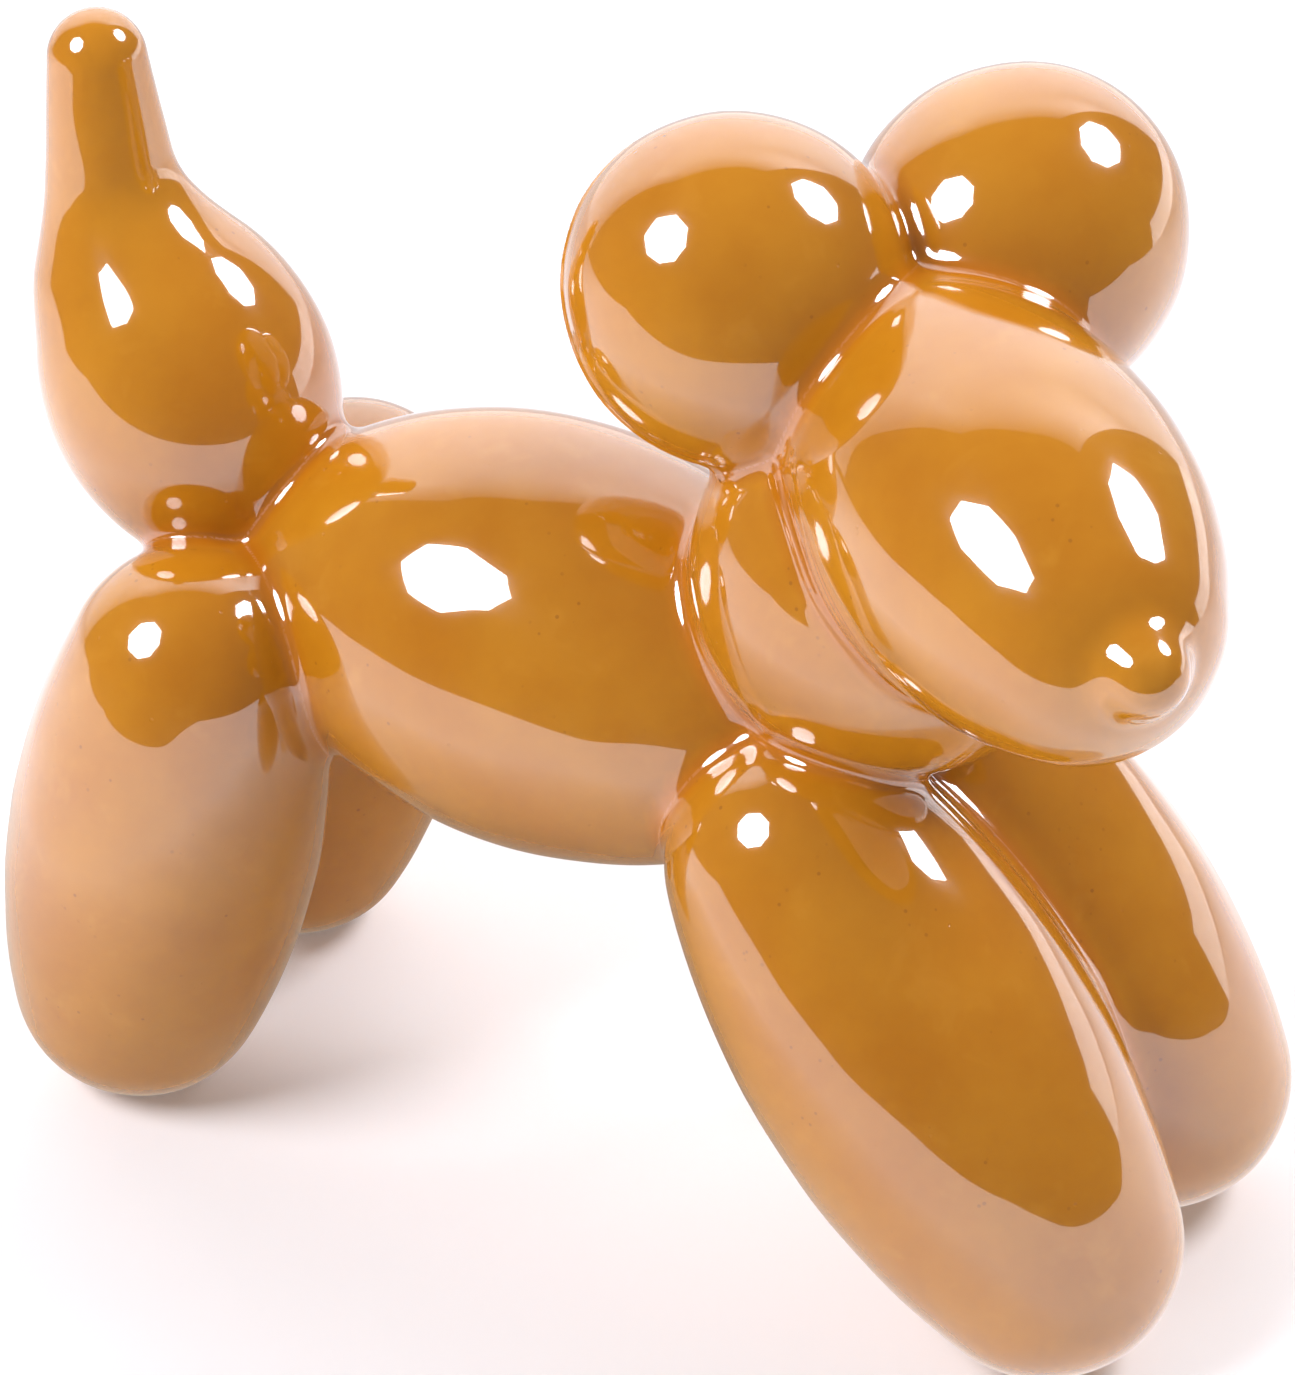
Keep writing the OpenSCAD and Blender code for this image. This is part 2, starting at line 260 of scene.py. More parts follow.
def make_bubbles():
    """The ten bubbles in the order of NAMES."""
    body = Oval(*BODY_FORM, heading(0, -BODY_DIP)).seat("body_shell", (1, 1, 1))
    neck = Oval(*NECK_FORM, heading(0, NECK_RAISE)).seat("neck_shell", (1, -1, 1))
    rear = [
        Oval(*REAR_LEG_FORM, heading(180, -REAR_LEG_DIP)).seat(node, (side, 1, 1))
        for node, side in (("rear_right_leg_shell", -1), ("rear_left_leg_shell", 1))
    ]
    tail = Oval(*TAIL_FORM, heading(180, TAIL_RAISE)).seat("tail_shell", (1, 1, 1))
    rise = SPOUT_RAISE + SPOUT_L * cos(radians(SPOUT_LEAN)) + SPOUT_TIP_R
    tail.at[2] = box("tail_shell")[1, 2] - rise
    head = Oval(*HEAD_FORM, heading(HEAD_TURN, -HEAD_DIP))
    head.seat("head_shell", (-1, -1, 1), (knot_offset(head), KNOT_R))
    ears = [
        Oval(*EAR_FORM, heading(HEAD_TURN + turn, EAR_RAISE)).seat(node, sides)
        for node, turn, sides in (
            ("right_ear_shell", 90, (-1, 1, 1)),
            ("left_ear_shell", -90, (1, -1, 1)),
        )
    ]
    return [body, neck, *rear, tail, front_leg(-1, body), front_leg(1, body), head, *ears]


bubbles = make_bubbles()
spout_foot = bubbles[TAIL].at + [0, SPOUT_SETBACK, SPOUT_RAISE]
spout_tip = spout_foot + heading(180, 90 - SPOUT_LEAN) * SPOUT_L
knot_at = bubbles[HEAD].at + knot_offset(bubbles[HEAD])


def distances(p):
    """Signed distance from points to each bubble, the spout and the knot included."""
    f = [bubble.distance(p) for bubble in bubbles]
    spout = round_cone(p, spout_foot, spout_tip, SPOUT_FOOT_R, SPOUT_TIP_R)
    f[TAIL] = smooth_min(f[TAIL], spout, SPOUT_BLEND)
    f[HEAD] = smooth_min(f[HEAD], ball(p, knot_at, KNOT_R), KNOT_BLEND)
    return f


# Unevenness of the hand-cast surface: wave vectors in turns per millimetre, with a phase
WAVES = [
    ((0.041, 0.023, -0.035), 0.4),
    ((-0.028, 0.047, 0.021), 1.9),
    ((0.019, -0.033, 0.052), 3.1),
    ((0.061, 0.040, 0.030), 4.4),
    ((-0.050, 0.036, -0.062), 5.2),
]
WAVE_HEIGHT = 0.02


def waves(p):
    """Height of the unevenness at points."""
    return WAVE_HEIGHT * sum(np.sin(2 * pi * (p @ np.array(v)) + phase) for v, phase in WAVES)


# The luting lines that were smoothed by hand round the joint of head and neck
LUTING_HEIGHT = 0.26
LUTING_PITCH = 3.4
# How far the ridges spread to each side of the joint, and up from it
LUTING_SIDE = 5.5
LUTING_REACH = 2.5
# Wave vectors in radians per millimetre: those by which the ridges wander, each with its height,
# and the one along which they are worn
LUTING_WANDER = (((0.16, 0.05, 0.11), 0.9), ((-0.09, 0.21, 0.17), 0.6))
LUTING_WEAR = (0.13, -0.10, 0.19)


def luting(p, f):
    """Uneven ridges that run along the joint of head and neck."""
    across = f[HEAD] - f[NECK]
    near = np.exp(-((np.maximum(f[HEAD], f[NECK]) / LUTING_REACH) ** 2))
    near = near * np.exp(-((across / LUTING_SIDE) ** 2))
    wander = sum(height * np.sin(p @ np.array(v)) for v, height in LUTING_WANDER)
    worn = 0.6 + 0.4 * np.sin(p @ np.array(LUTING_WEAR) + 1.0)
    return LUTING_HEIGHT * near * worn * np.sin(2 * pi * across / LUTING_PITCH + 2 * wander)


# The mould's parting line, proud of the right ear on its lower outer side
PARTING_HEIGHT = 0.45
PARTING_WIDTH = 0.8
PARTING_AXIS = heading(62, 26)
PARTING_OFFSET = 3.0
# It fades out away from its middle: the cosine at which it ends, and by how much more it is full
PARTING_MIDDLE = heading(150, -25)
PARTING_END = 0.1
PARTING_FADE = 0.5
# It shows only where the ear lies this near the skin
PARTING_NEAR = 2


def parting(p):
    """Height of the parting line at points."""
    d = p - bubbles[RIGHT_EAR].at
    across = d @ PARTING_AXIS - PARTING_OFFSET
    out = d / np.maximum(np.linalg.norm(d, axis=-1, keepdims=True), 1e-6)
    around = np.clip((out @ PARTING_MIDDLE - PARTING_END) / PARTING_FADE, 0, 1)
    return PARTING_HEIGHT * around * np.exp(-((across / PARTING_WIDTH) ** 2))


def skin(p, f=None):
    """The glazed skin's field: negative inside the clay, zero on the surface."""
    f = distances(p) if f is None else f
    whole = smooth_min(f[BODY], f[NECK], BLEND)
    whole = smooth_min(whole, np.minimum(f[REAR_RIGHT], f[REAR_LEFT]), BLEND)
    whole = smooth_min(whole, f[TAIL], BLEND)
    front = smooth_min(f[FRONT_RIGHT], f[FRONT_LEFT], FRONT_LEG_BLEND)
    whole = smooth_min(whole, front, BLEND)
    whole = smooth_min(whole, f[HEAD], BLEND)
    ears = smooth_min(f[RIGHT_EAR], f[LEFT_EAR], EAR_BLEND)
    whole = smooth_min(whole, ears, BLEND)
    line = parting(p) * (f[RIGHT_EAR] < whole + PARTING_NEAR)
    whole = whole + waves(p) - luting(p, f) - line
    return -smooth_min(-whole, p[..., 2] - felt, SOLE_BLEND)


def slope(field, p, step=0.05):
    """Gradient of a field by central differences."""
    parts = [(field(p + e) - field(p - e)) / (2 * step) for e in np.eye(3) * step]
    return np.stack(parts, -1)


def onto_skin(p, steps=4, least=0.25):
    """Moves points along the skin's slope until they lie on it.

    A small slope is raised, to least when squared, so that no step is too long.
    """
    for _ in range(steps):
        g = slope(skin, p)
        p = p - skin(p)[:, None] * g / np.maximum((g * g).sum(-1, keepdims=True), least)
    return p


class Surface:
    """Vertices shared by every piece, so that cut edges of neighbours are the same points."""

    def __init__(self):
        self.points = np.zeros((0, 3))

    def mesh(self):
        """Surface nets of the skin on a grid; returns triangles that face outwards."""
        low, high = (np.array(corner) / MM for corner in cad_bounds)
        axes = [np.arange(a - 3 * GRID, b + 4 * GRID, GRID) for a, b in zip(low, high)]
        size = [len(a) for a in axes]
        field = np.zeros(size, np.float32)
        for i, x in enumerate(axes[0]):
            y, z = np.meshgrid(axes[1], axes[2], indexing="ij")
            field[i] = skin(np.stack([np.full_like(y, x), y, z], -1))
        inside = field < 0
        corners = [(a, b, c) for a in (0, 1) for b in (0, 1) for c in (0, 1)]

        def at(c, grid):
            return grid[tuple(slice(o, s - 1 + o) for o, s in zip(c, size))]

        count = sum(at(c, inside).astype(np.int8) for c in corners)
        active = (count > 0) & (count < 8)
        cells = np.argwhere(active)
        number = np.full(active.shape, -1)
        number[tuple(cells.T)] = np.arange(len(cells))
        total = np.zeros((len(cells), 3))
        weight = np.zeros(len(cells))
        for a in corners:
            for k in range(3):
                if a[k]:
                    continue
                b = tuple(1 if j == k else a[j] for j in range(3))
                fa, fb = (at(c, field)[active] for c in (a, b))
                cross = (fa < 0) != (fb < 0)
                t = np.where(cross, fa / np.where(cross, fa - fb, 1), 0)
                spot = np.array(a, float) + np.eye(3)[k] * t[:, None]
                total += np.where(cross[:, None], spot, 0)
                weight += cross
        origin = np.array([a[0] for a in axes])
        self.points = origin + (cells + total / weight[:, None]) * GRID
        quads = []
        for k in range(3):
            u, v = (k + 1) % 3, (k + 2) % 3
            here = [slice(1, s - 1) for s in size]
            ahead = list(here)
            here[k], ahead[k] = slice(0, size[k] - 1), slice(1, size[k])
            a, b = inside[tuple(here)], inside[tuple(ahead)]
            spots = np.argwhere(a != b)
            out = a[tuple(spots.T)]
            base = spots + 1
            base[:, k] -= 1
            ring = []
            for du, dv in ((1, 1), (0, 1), (0, 0), (1, 0)):
                cell = base.copy()
                cell[:, u] -= du
                cell[:, v] -= dv
                ring.append(number[tuple(cell.T)])
            quad = np.stack(ring, -1)
            quad[~out] = quad[~out][:, ::-1]
            quads.append(quad)
        quads = np.concatenate(quads)
        self.relax(quads)
        a, b, c, d = (self.points[quads[:, i]] for i in range(4))
        short = (np.linalg.norm(a - c, axis=1) <= np.linalg.norm(b - d, axis=1))[:, None]
        first = np.where(short, quads[:, [0, 1, 2]], quads[:, [0, 1, 3]])
        second = np.where(short, quads[:, [0, 2, 3]], quads[:, [1, 2, 3]])
        return np.concatenate([first, second])

    def relax(self, quads, rounds=4, share=0.6):
        """Evens out the net: each vertex goes a share of the way to its neighbours' middle."""
        ends = np.concatenate([quads[:, [i, (i + 1) % 4]] for i in range(4)])
        n = len(self.points)
        count = np.maximum(np.bincount(ends[:, 0], minlength=n), 1)
        for _ in range(rounds):
            for k in range(3):
                mean = np.bincount(ends[:, 0], self.points[ends[:, 1], k], n) / count
                self.points[:, k] += share * (mean - self.points[:, k])
            self.points = onto_skin(self.points, 1)
        self.points = onto_skin(self.points)

    def add(self, pairs, shares):
        """New vertices on edges, put onto the skin; returns their numbers."""
        a, b = self.points[pairs[:, 0]], self.points[pairs[:, 1]]
        first = len(self.points)
        made = onto_skin(a + (b - a) * shares[:, None], 2)
        self.points = np.concatenate([self.points, made])
        return first + np.arange(len(pairs))

    def refine(self, tris, zone):
        """Halves every edge whose two ends lie in a zone."""
        edges = np.sort(np.stack([tris, np.roll(tris, -1, 1)], -1), -1)
        flat, where = np.unique(edges.reshape(-1, 2), axis=0, return_inverse=True)
        marked = zone[flat[:, 0]] & zone[flat[:, 1]]
        middle = np.full(len(flat), -1)
        middle[marked] = self.add(flat[marked], np.full(marked.sum(), 0.5))
        middle = middle[where.reshape(-1)].reshape(-1, 3)
        made = [tris[(middle < 0).all(1)]]
        for i in range(3):
            j, k = (i + 1) % 3, (i + 2) % 3
            a, b, c = tris[:, i], tris[:, j], tris[:, k]
            ab, bc, ca = middle[:, i], middle[:, j], middle[:, k]
            one = (ab >= 0) & (bc < 0) & (ca < 0)
            made += [np.stack(t, -1)[one] for t in ((a, ab, c), (ab, b, c))]
            two = (ab >= 0) & (bc >= 0) & (ca < 0)
            made += [np.stack(t, -1)[two] for t in ((ab, b, bc), (a, ab, bc), (a, bc, c))]
        ab, bc, ca = middle.T
        a, b, c = tris.T
        full = (middle >= 0).all(1)
        quarters = ((a, ab, ca), (ab, b, bc), (ca, bc, c), (ab, bc, ca))
        made += [np.stack(t, -1)[full] for t in quarters]
        return np.concatenate(made)

    def split(self, tris, values, snap=0.06):
        """Cuts triangles where the vertices' values pass zero; returns those above and below."""
        values = np.where(np.abs(values) < snap, 0, values)
        sign = np.sign(values)[tris]
        above = tris[(sign >= 0).all(1)]
        below = tris[(sign <= 0).all(1) & (sign < 0).any(1)]
        mixed = tris[(sign > 0).any(1) & (sign < 0).any(1)]
        edges = np.sort(np.stack([mixed, np.roll(mixed, -1, 1)], -1).reshape(-1, 2), -1)
        edges = np.unique(edges[values[edges[:, 0]] * values[edges[:, 1]] < 0], axis=0)
        va, vb = values[edges[:, 0]], values[edges[:, 1]]
        made = self.add(edges, va / (va - vb))
        cut = {(a, b): m for (a, b), m in zip(map(tuple, edges.tolist()), made.tolist())}
        sides = {1: [], -1: []}
        for tri in mixed.tolist():
            ring = []
            for a, b in zip(tri, tri[1:] + tri[:1]):
                ring.append((a, float(np.sign(values[a]))))
                m = cut.get((min(a, b), max(a, b)))
                if m is not None:
                    ring.append((m, 0.0))
            for side, out in sides.items():
                part = [v for v, s in ring if s * side >= 0]
                out += [(part[0], part[i], part[i + 1]) for i in range(1, len(part) - 1)]
        both = [np.array(sides[s], int).reshape(-1, 3) for s in (1, -1)]
        return np.concatenate([above, both[0]]), np.concatenate([below, both[1]])


# The joints: each seam or web with the pairs of bubbles that it runs between
JOINTS = {
    "neck_seam": [(BODY, NECK)],
    "head_seam": [(NECK, HEAD), (BODY, HEAD)],
    "right_ear_seam": [(HEAD, RIGHT_EAR), (NECK, RIGHT_EAR), (BODY, RIGHT_EAR)],
    "left_ear_seam": [(HEAD, LEFT_EAR), (NECK, LEFT_EAR)],
    "rear_right_leg_seam": [(BODY, REAR_RIGHT)],
    "rear_left_leg_seam": [(BODY, REAR_LEFT)],
    "front_right_leg_seam": [(BODY, FRONT_RIGHT), (NECK, FRONT_RIGHT), (HEAD, FRONT_RIGHT)],
    "front_left_leg_seam": [(BODY, FRONT_LEFT), (NECK, FRONT_LEFT), (HEAD, FRONT_LEFT)],
    "tail_seam": [(BODY, TAIL), (REAR_RIGHT, TAIL), (REAR_LEFT, TAIL)],
    "front_leg_web": [(FRONT_RIGHT, FRONT_LEFT)],
    "ear_web": [(RIGHT_EAR, LEFT_EAR)],
}


def blend_width(i, j):
    """The width over which two bubbles run into each other."""
    pair = {i, j}
    if pair == {FRONT_RIGHT, FRONT_LEFT}:
        return FRONT_LEG_BLEND
    if pair == {RIGHT_EAR, LEFT_EAR}:
        return EAR_BLEND
    return 0.0 if pair == {REAR_RIGHT, REAR_LEFT} else BLEND


def clear_of_joints(f, i):
    """How far points on bubble i lie past the edge of its nearest joint."""
    return np.min([f[j] - f[i] - blend_width(i, j) for j in range(len(f)) if j != i], axis=0)


def joint_nearness(f):
    """For each joint, how near points are to both of its bubbles."""
    return {
        name: np.min([np.maximum(f[i], f[j]) - blend_width(i, j) for i, j in pairs], axis=0)
        for name, pairs in JOINTS.items()
    }


def cut_into_pieces(surface, tris):
    """Shares the skin out between the castings and the joints."""
    pieces = {}
    rest = tris
    for i, name in enumerate(NAMES):
        values = clear_of_joints(distances(surface.points), i)
        pieces[f"{name}_shell"], rest = surface.split(rest, values)
    for name in list(JOINTS)[:-1]:
        near = joint_nearness(distances(surface.points))
        later = list(JOINTS)[list(JOINTS).index(name) + 1 :]
        values = np.min([near[other] for other in later], axis=0) - near[name]
        pieces[name], rest = surface.split(rest, values)
    pieces[list(JOINTS)[-1]] = rest
    return pieces


def vent_hole(surface, tris):
    """Opens the firing vent under the belly."""
    p = surface.points
    at = bubbles[BODY].at
    values = np.where(p[:, 2] < at[2], np.hypot(p[:, 0] - at[0], p[:, 1] - at[1]) - VENT_R, 1.0)
    return surface.split(tris, values)[0]


def new_object(name, points, faces, materials):
    """A mesh piece from points in millimetres."""
    mesh = bpy.data.meshes.new(name)
    mesh.from_pydata((points * MM).tolist(), [], faces)
    for material in materials:
        mesh.materials.append(material)
    piece = bpy.data.objects.new(name, mesh)
    bpy.context.scene.collection.objects.link(piece)
    return piece


def depth_below(i):
    """Vectors from the skin down to the inner face of casting i."""

    def drop(p):
        def own(q):
            return distances(q)[i]

        return (own(p) + WALL)[:, None] * slope(own, p)

    return drop


def depth_of_slip(p):
    """Vectors from the skin down to the inner face of the slip."""
    n = slope(skin, p)
    return WALL * n / np.linalg.norm(n, axis=-1, keepdims=True)


def solid_piece(name, surface, tris, drop, materials):
    """Closes a part of the skin into a wall: outer face, inner face and the rim between them."""
    used, where = np.unique(tris, return_inverse=True)
    tris = where.reshape(-1, 3)
    outer = surface.points[used]
    n = len(used)
    edges = np.concatenate([tris[:, [0, 1]], tris[:, [1, 2]], tris[:, [2, 0]]])
    code = edges[:, 0] * n + edges[:, 1]
    back = edges[:, 1] * n + edges[:, 0]
    rim = edges[~np.isin(code, back)]
    rim_faces = np.stack([rim[:, 1], rim[:, 0], rim[:, 0] + n, rim[:, 1] + n], -1)
    points = np.concatenate([outer, outer - drop(outer)])
    faces = tris.tolist() + (tris[:, ::-1] + n).tolist() + rim_faces.tolist()
    piece = new_object(name, points, faces, materials)
    mesh = piece.data
    # Material 1, the bisque, is on all but the outer face, and on that where it meets the felt
    slots = np.ones(len(faces), np.int32)
    slots[: len(tris)] = (outer[tris][..., 2] < felt + SOLE_NEAR).all(1)
    mesh.polygons.foreach_set("material_index", slots)
    add_crease(mesh, points, n)
    set_normals(mesh, outer, n, len(tris))
    return piece


def set_normals(mesh, outer, n, shown):
    """The outer face is shaded by the skin's own slope, so reflections run on across the cuts."""
    normals = slope(skin, outer)
    normals /= np.linalg.norm(normals, axis=-1, keepdims=True)
    mesh.update()
    mesh.polygons.foreach_set("use_smooth", np.ones(len(mesh.polygons), bool))
    loops = np.zeros(len(mesh.loops), np.int32)
    mesh.loops.foreach_get("vertex_index", loops)
    own = np.zeros(len(mesh.loops) * 3, np.float32)
    mesh.corner_normals.foreach_get("vector", own)
    own = own.reshape(-1, 3)
    first = 3 * shown
    own[:first] = normals[loops[:first]]
    mesh.normals_split_custom_set(own.tolist())


def add_crease(mesh, points, n):
    """How deep in a joint each point lies, from 0 on a bubble to 1 in the middle of the joint."""
    f = np.sort(np.array(distances(points[:n])), axis=0)
    deep = np.clip(1 - (f[1] - f[0]) / BLEND, 0, 1)
    both = np.concatenate([deep, deep]).astype(np.float32)
    mesh.attributes.new("crease", "FLOAT", "POINT").data.foreach_set("value", both)


# Materials
class Nodes:
    """Short calls for building a material's nodes."""

    def __init__(self, name):
        self.material = bpy.data.materials.new(name)
        self.material.use_nodes = True
        self.tree = self.material.node_tree
        self.shader = self.tree.nodes["Principled BSDF"]
        self.place = self.add("ShaderNodeTexCoord").outputs["Object"]

    def add(self, kind, **settings):
        node = self.tree.nodes.new(kind)
        for key, value in settings.items():
            setattr(node, key, value)
        return node

    def link(self, a, b):
        self.tree.links.new(a, b)

    def noise(self, scale, detail=3.0, roughness=0.5, distortion=0.0):
        node = self.add("ShaderNodeTexNoise")
        node.inputs["Scale"].default_value = scale
        node.inputs["Detail"].default_value = detail
        node.inputs["Roughness"].default_value = roughness
        node.inputs["Distortion"].default_value = distortion
        self.link(self.place, node.inputs["Vector"])
        return node.outputs["Fac"]

    def voronoi(self, scale, feature="F1"):
        node = self.add("ShaderNodeTexVoronoi", feature=feature)
        node.inputs["Scale"].default_value = scale
        self.link(self.place, node.inputs["Vector"])
        return node.outputs["Distance"]

    def ramp(self, source, low, high, start=0.0, end=1.0):
        """Maps low..high of a value to start..end, held at both ends."""
        node = self.add("ShaderNodeMapRange", clamp=True)
        limits = {"From Min": low, "From Max": high, "To Min": start, "To Max": end}
        for key, value in limits.items():
            node.inputs[key].default_value = value
        self.link(source, node.inputs["Value"])
        return node.outputs["Result"]

    def math(self, operation, a, b):
        node = self.add("ShaderNodeMath", operation=operation)
        for socket, value in zip(node.inputs, (a, b)):
            if isinstance(value, (int, float)):
                socket.default_value = value
            else:
                self.link(value, socket)
        return node.outputs[0]

    def mix(self, share, a, b):
        """Mixes two colours; inputs 6 and 7 are the node's colours, and output 2 its result."""
        node = self.add("ShaderNodeMix", data_type="RGBA")
        for socket, value in ((node.inputs[0], share), (node.inputs[6], a), (node.inputs[7], b)):
            if isinstance(value, tuple):
                socket.default_value = (*value, 1.0)
            elif isinstance(value, float):
                socket.default_value = value
            else:
                self.link(value, socket)
        return node.outputs[2]

    def bump(self, height, strength, distance, under=None):
        node = self.add("ShaderNodeBump")
        node.inputs["Strength"].default_value = strength
        node.inputs["Distance"].default_value = distance
        self.link(height, node.inputs["Height"])
        if under is not None:
            self.link(under, node.inputs["Normal"])
        return node.outputs["Normal"]

    def set(self, **values):
        for key, value in values.items():
            self.shader.inputs[key.replace("_", " ")].default_value = value


OCHRE = (0.53, 0.215, 0.010)
DEEP_OCHRE = (0.46, 0.165, 0.005)
PALE_OCHRE = (0.60, 0.26, 0.022)
CREASE_OCHRE = (0.46, 0.140, 0.005)
PINK_CLAY = (0.72, 0.36, 0.20)
BISQUE_CLAY = (0.74, 0.56, 0.40)
DARK_BISQUE = (0.66, 0.47, 0.32)
GRIT = (0.45, 0.31, 0.21)
FELT_BROWN = (0.075, 0.056, 0.045)
FELT_DARK = (0.020, 0.015, 0.012)
SPECK = (0.16, 0.05, 0.01)


def glaze_material(name, slip):
    """Thick glossy glaze: mottled, deeper where it pooled, wavy, with specks and pinholes."""
    g = Nodes(name)
    cloud = g.ramp(g.noise(38, 4, 0.55), 0.32, 0.68)
    colour = g.mix(cloud, DEEP_OCHRE, OCHRE)
    thin = g.ramp(g.noise(90, 3, 0.6, 0.4), 0.60, 0.80, 0.0, 0.45)
    colour = g.mix(thin, colour, PALE_OCHRE)
    crease = g.add("ShaderNodeAttribute", attribute_name="crease").outputs["Fac"]
    pooled = g.ramp(crease, 0.1, 0.75, 0.0, 0.8)
    colour = g.mix(pooled, colour, CREASE_OCHRE)
    if slip:
        line = g.ramp(crease, 0.90, 0.98)
        broken = g.ramp(g.noise(25, 2, 0.5), 0.42, 0.62, 0.0, 0.5)
        colour = g.mix(g.math("MULTIPLY", line, broken), colour, PINK_CLAY)
    rare = g.ramp(g.noise(85, 1), 0.60, 0.66)
    speck = g.math("MULTIPLY", g.ramp(g.voronoi(420), 0.10, 0.16, 1.0, 0.0), rare)
    colour = g.mix(g.math("MULTIPLY", speck, 0.4), colour, SPECK)
    g.link(colour, g.shader.inputs["Base Color"])
    worn = g.ramp(g.noise(120, 4, 0.6), 0.35, 0.75, 0.10, 0.20)
    g.link(worn, g.shader.inputs["Roughness"])
    ripple = g.bump(g.noise(230, 2, 0.4), 0.10, 0.0003)
    pits = g.ramp(g.voronoi(260), 0.03, 0.10)
    few = g.ramp(g.noise(110, 1), 0.60, 0.64)
    hole = g.math("MULTIPLY", g.math("SUBTRACT", 1.0, pits), few)
    pinholes = g.bump(g.math("SUBTRACT", 1.0, hole), 0.5, 0.0002, ripple)
    g.link(pinholes, g.shader.inputs["Normal"])
    g.link(g.bump(g.noise(150, 1, 0.3), 0.05, 0.0003), g.shader.inputs["Coat Normal"])
    g.set(IOR=1.5, Specular_IOR_Level=0.25, Coat_Weight=1.0, Coat_Roughness=0.012, Coat_IOR=2.0)
    return g.material


def bisque_material():
    """Unglazed fired clay inside the castings and round the pads."""
    b = Nodes("bisque")
    colour = b.mix(b.ramp(b.noise(160, 5, 0.6), 0.3, 0.7), BISQUE_CLAY, DARK_BISQUE)
    grit = b.ramp(b.voronoi(900), 0.12, 0.22, 0.5, 0.0)
    b.link(b.mix(grit, colour, GRIT), b.shader.inputs["Base Color"])
    b.link(b.bump(b.noise(1400, 4, 0.7), 0.4, 0.0002), b.shader.inputs["Normal"])
    b.link(b.ramp(b.noise(300, 3), 0.3, 0.7, 0.75, 0.92), b.shader.inputs["Roughness"])
    return b.material


def felt_material():
    """Pressed felt: matted fibres in several browns."""
    m = Nodes("felt")
    fibres = m.noise(2600, 6, 0.75, 1.2)
    colour = m.mix(m.ramp(fibres, 0.3, 0.7), FELT_DARK, FELT_BROWN)
    m.link(colour, m.shader.inputs["Base Color"])
    m.link(m.bump(fibres, 0.8, 0.0003), m.shader.inputs["Normal"])
    m.link(m.ramp(fibres, 0.3, 0.7, 0.88, 1.0), m.shader.inputs["Roughness"])
    m.set(Sheen_Weight=0.5, Sheen_Roughness=0.5)
    return m.material


# A pad's outline towards its rim: the share of the radius, and how deep it is pressed in there, as
# a share of the felt's thickness
PAD_RINGS = ((0.3, 0.0), (0.6, 0.0), (0.85, 0.01), (0.95, 0.04), (0.99, 0.14), (1.0, 0.32))
PAD_SIDES = 96
PAD_ROUGHNESS = 0.006


def felt_pad(node, material):
    """A punched felt disc: domed a little at its rim, where the punch pressed it."""
    low, high = box(node)
    middle = (low + high) / 2
    r = (high[0] - low[0]) / 2
    sides = PAD_SIDES
    turn = np.arange(sides) * 2 * pi / sides
    rough = 1 - PAD_ROUGHNESS * (1 + np.sin(17 * turn) * np.sin(5 * turn + 1))
    points, faces = [[middle[0], middle[1], low[2]]], []
    profile = [(share, low[2] + rise * felt) for share, rise in PAD_RINGS]
    profile += [(share, high[2] - rise * felt) for share, rise in reversed(PAD_RINGS)]
    for share, z in profile:
        edge = rough if share > 0.9 else 1.0
        for x, y in zip(np.cos(turn) * share * r * edge, np.sin(turn) * share * r * edge):
            points.append([middle[0] + x, middle[1] + y, z])
    points.append([middle[0], middle[1], high[2]])
    for k in range(sides):
        j = (k + 1) % sides
        faces.append((0, 1 + j, 1 + k))
        for ring in range(len(profile) - 1):
            a, b = 1 + ring * sides, 1 + (ring + 1) * sides
            faces.append((a + k, a + j, b + j, b + k))
        last = 1 + (len(profile) - 1) * sides
        faces.append((last + k, last + j, len(points) - 1))
    piece = new_object(node.replace("_foot_pad", "_felt_pad"), np.array(points), faces, [material])
    for polygon in piece.data.polygons:
        polygon.use_smooth = True
    return piece


def keep(piece, node):
    """Says what a piece rides on and which CAD node it replaces."""
    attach(piece, list(frame["bodies"])[0])
    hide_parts(node)


# The net is finer this far past the luting ridges and past the knot, and where the parting line is
# this high
FINE_MARGIN = 1.5
KNOT_FINE = 3.5
PARTING_FINE = 0.02


def build_dog():
    """Meshes the skin, shares it out between the pieces and adds the pads."""
    surface = Surface()
    tris = surface.mesh()
    f = distances(surface.points)
    nearest = np.sort(np.array(f), axis=0)
    fine = nearest[1] - nearest[0] < BLEND
    fine |= np.maximum(np.abs(f[HEAD] - f[NECK]), np.abs(f[HEAD])) < LUTING_SIDE + FINE_MARGIN
    fine |= parting(surface.points) * (np.abs(f[RIGHT_EAR]) < 1) > PARTING_FINE
    fine |= ball(surface.points, knot_at, KNOT_R) < KNOT_FINE
    tris = surface.refine(tris, fine)
    pieces = cut_into_pieces(surface, tris)
    pieces["body_shell"] = vent_hole(surface, pieces["body_shell"])
    bisque = bisque_material()
    glaze = glaze_material("glaze", False)
    slip = glaze_material("joint_glaze", True)
    for i, name in enumerate(NAMES):
        node = f"{name}_shell"
        coats = [glaze, bisque]
        piece = solid_piece(f"{name}_casting", surface, pieces[node], depth_below(i), coats)
        keep(piece, node)
    for node in JOINTS:
        piece = solid_piece(f"{node}_slip", surface, pieces[node], depth_of_slip, [slip, bisque])
        keep(piece, node)
    pad = felt_material()
    for corner in ("front_right", "front_left", "rear_right", "rear_left"):
        node = f"{corner}_foot_pad"
        keep(felt_pad(node, pad), node)


